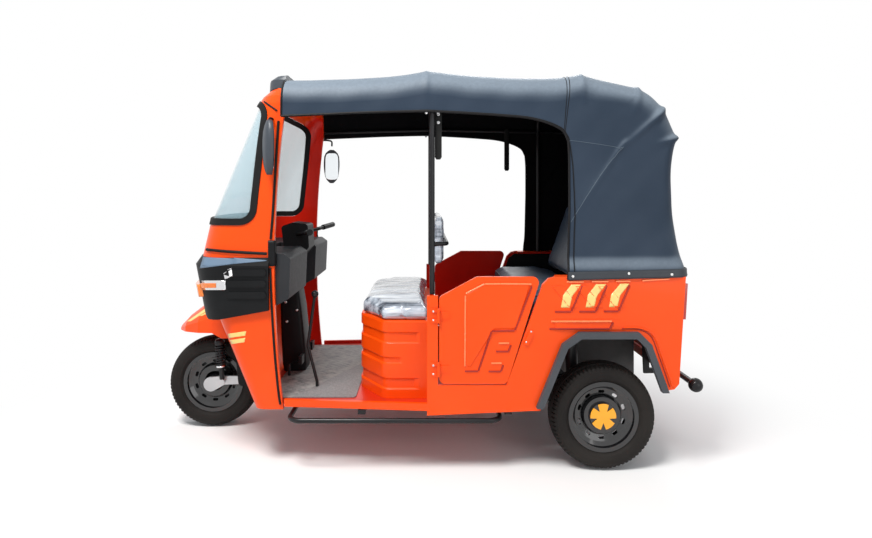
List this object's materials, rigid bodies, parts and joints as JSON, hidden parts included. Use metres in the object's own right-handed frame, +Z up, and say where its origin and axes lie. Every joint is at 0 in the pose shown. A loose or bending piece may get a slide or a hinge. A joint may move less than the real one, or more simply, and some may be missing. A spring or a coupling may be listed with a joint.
{
  "type": "auto rickshaw",
  "caption": "Three-wheeled passenger auto rickshaw with a wraparound windshield, folding-cloth hood, half doors and a single steered front wheel.",
  "frame": {"origin": "on the floor under the middle of the overall box", "axes": "+X forward, +Y to the vehicle's left, +Z up"},
  "size_m": [2.8198, 1.3, 1.9664],
  "materials": {
    "orange_paint": "satin",
    "red_floor_paint": "satin",
    "grey_mat": "matte",
    "clear_glass": "clear",
    "black_rubber": "matte",
    "black_plastic": "grained",
    "dark_plastic": "matte",
    "chrome_trim": "bright",
    "amber_plastic": "gloss",
    "red_plastic": "gloss",
    "black_steel": "satin",
    "grey_vinyl": "satin",
    "blue_vinyl": "satin",
    "bare_iron": "matte",
    "bare_aluminium": "satin",
    "tyre_rubber": "matte"
  },
  "bodies": {
    "body": {"cowl": "orange_paint", "side_left": "orange_paint", "side_right": "orange_paint", "rear_panel": "orange_paint", "front_beak": "orange_paint", "seat_box": "orange_paint", "floor_pan": "red_floor_paint", "floor_mat": "grey_mat", "windshield": "clear_glass", "windshield_seal": "black_rubber", "front_cladding": "black_plastic", "lamp_bowls": "chrome_trim", "headlamp_lenses": "clear_glass", "signal_lamps": "amber_plastic", "tail_lamps": "red_plastic", "dashboard": "dark_plastic", "pedals_and_levers": "black_steel", "driver_seat": "grey_vinyl", "wheel_flares": "black_plastic", "side_linings": "black_plastic", "bench_base": "black_steel", "bench_seat": "blue_vinyl", "engine": "bare_iron", "roof_frame": "black_steel", "canopy": "blue_vinyl", "visor_cap": "black_plastic", "side_steps": "black_steel", "rear_bumper": "black_steel", "mirrors": "black_plastic", "grab_straps": "black_rubber", "rear_suspension": "black_steel", "door_hinges": "black_steel", "chassis": "black_steel"},
    "steering": {"steering_gear": "black_steel", "front_link": "bare_aluminium", "front_shock": "black_steel"},
    "front_wheel": {"front_rim": "black_steel", "front_tyre": "tyre_rubber"},
    "rear_wheel_left": {"rear_left_rim": "black_steel", "rear_left_tyre": "tyre_rubber"},
    "rear_wheel_right": {"rear_right_rim": "black_steel", "rear_right_tyre": "tyre_rubber"},
    "door_left": {"door_left": "orange_paint"},
    "door_right": {"door_right": "orange_paint"},
    "engine_hatch": {"engine_hatch": "orange_paint"}
  },
  "joints": [
    {"name": "steering_turn", "type": "hinge", "parent": "body", "child": "steering", "pos_m": [0.687, 0, 1.0665], "axis": [-0.4226, 0, 0.9063], "range_deg": [-35, 35]},
    {"name": "front_wheel_spin", "type": "hinge", "parent": "steering", "child": "front_wheel", "pos_m": [1.156, 0, 0.254], "axis": [0, 1, 0], "continuous": true},
    {"name": "rear_wheel_left_spin", "type": "hinge", "parent": "body", "child": "rear_wheel_left", "pos_m": [-0.914, 0.52, 0.254], "axis": [0, 1, 0], "continuous": true},
    {"name": "rear_wheel_right_spin", "type": "hinge", "parent": "body", "child": "rear_wheel_right", "pos_m": [-0.914, -0.52, 0.254], "axis": [0, 1, 0], "continuous": true},
    {"name": "door_left_hinge", "type": "hinge", "parent": "body", "child": "door_left", "pos_m": [-0.118, 0.631, 0.6265], "axis": [0, 0, -1], "range_deg": [0, 80]},
    {"name": "door_right_hinge", "type": "hinge", "parent": "body", "child": "door_right", "pos_m": [-0.118, -0.631, 0.6265], "axis": [0, 0, 1], "range_deg": [0, 80]},
    {"name": "engine_hatch_hinge", "type": "hinge", "parent": "body", "child": "engine_hatch", "pos_m": [-1.29322, 0, 0.8245], "axis": [0, 1, 0], "range_deg": [0, 75]}
  ]
}
